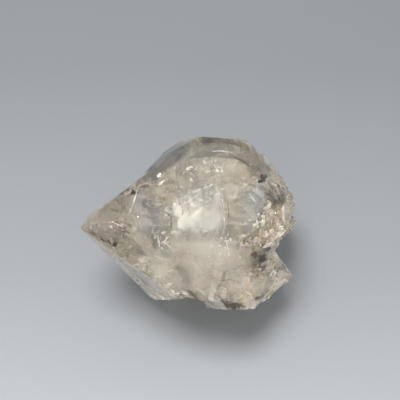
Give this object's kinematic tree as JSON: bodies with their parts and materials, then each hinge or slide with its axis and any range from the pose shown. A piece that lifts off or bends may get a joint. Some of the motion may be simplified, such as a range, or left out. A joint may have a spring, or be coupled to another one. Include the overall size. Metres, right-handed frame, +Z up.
{
  "type": "quartz crystal",
  "caption": "Natural doubly terminated quartz crystal, smoky and veiled, with a broken brown end and a small crystal grown on its side; stands on its base.",
  "frame": {"origin": "centre of the bounding box in plan, on the surface that the crystal rests on", "axes": "+X towards the broken end, away from the left point; +Y away from the viewer; +Z up"},
  "size_m": [0.0428, 0.0392, 0.0357],
  "materials": {
    "quartz_crystal": "clear to milky, warm grey, rough and brown where broken"
  },
  "bodies": {
    "root": {"quartz_crystal": "quartz_crystal"}
  },
  "joints": []
}
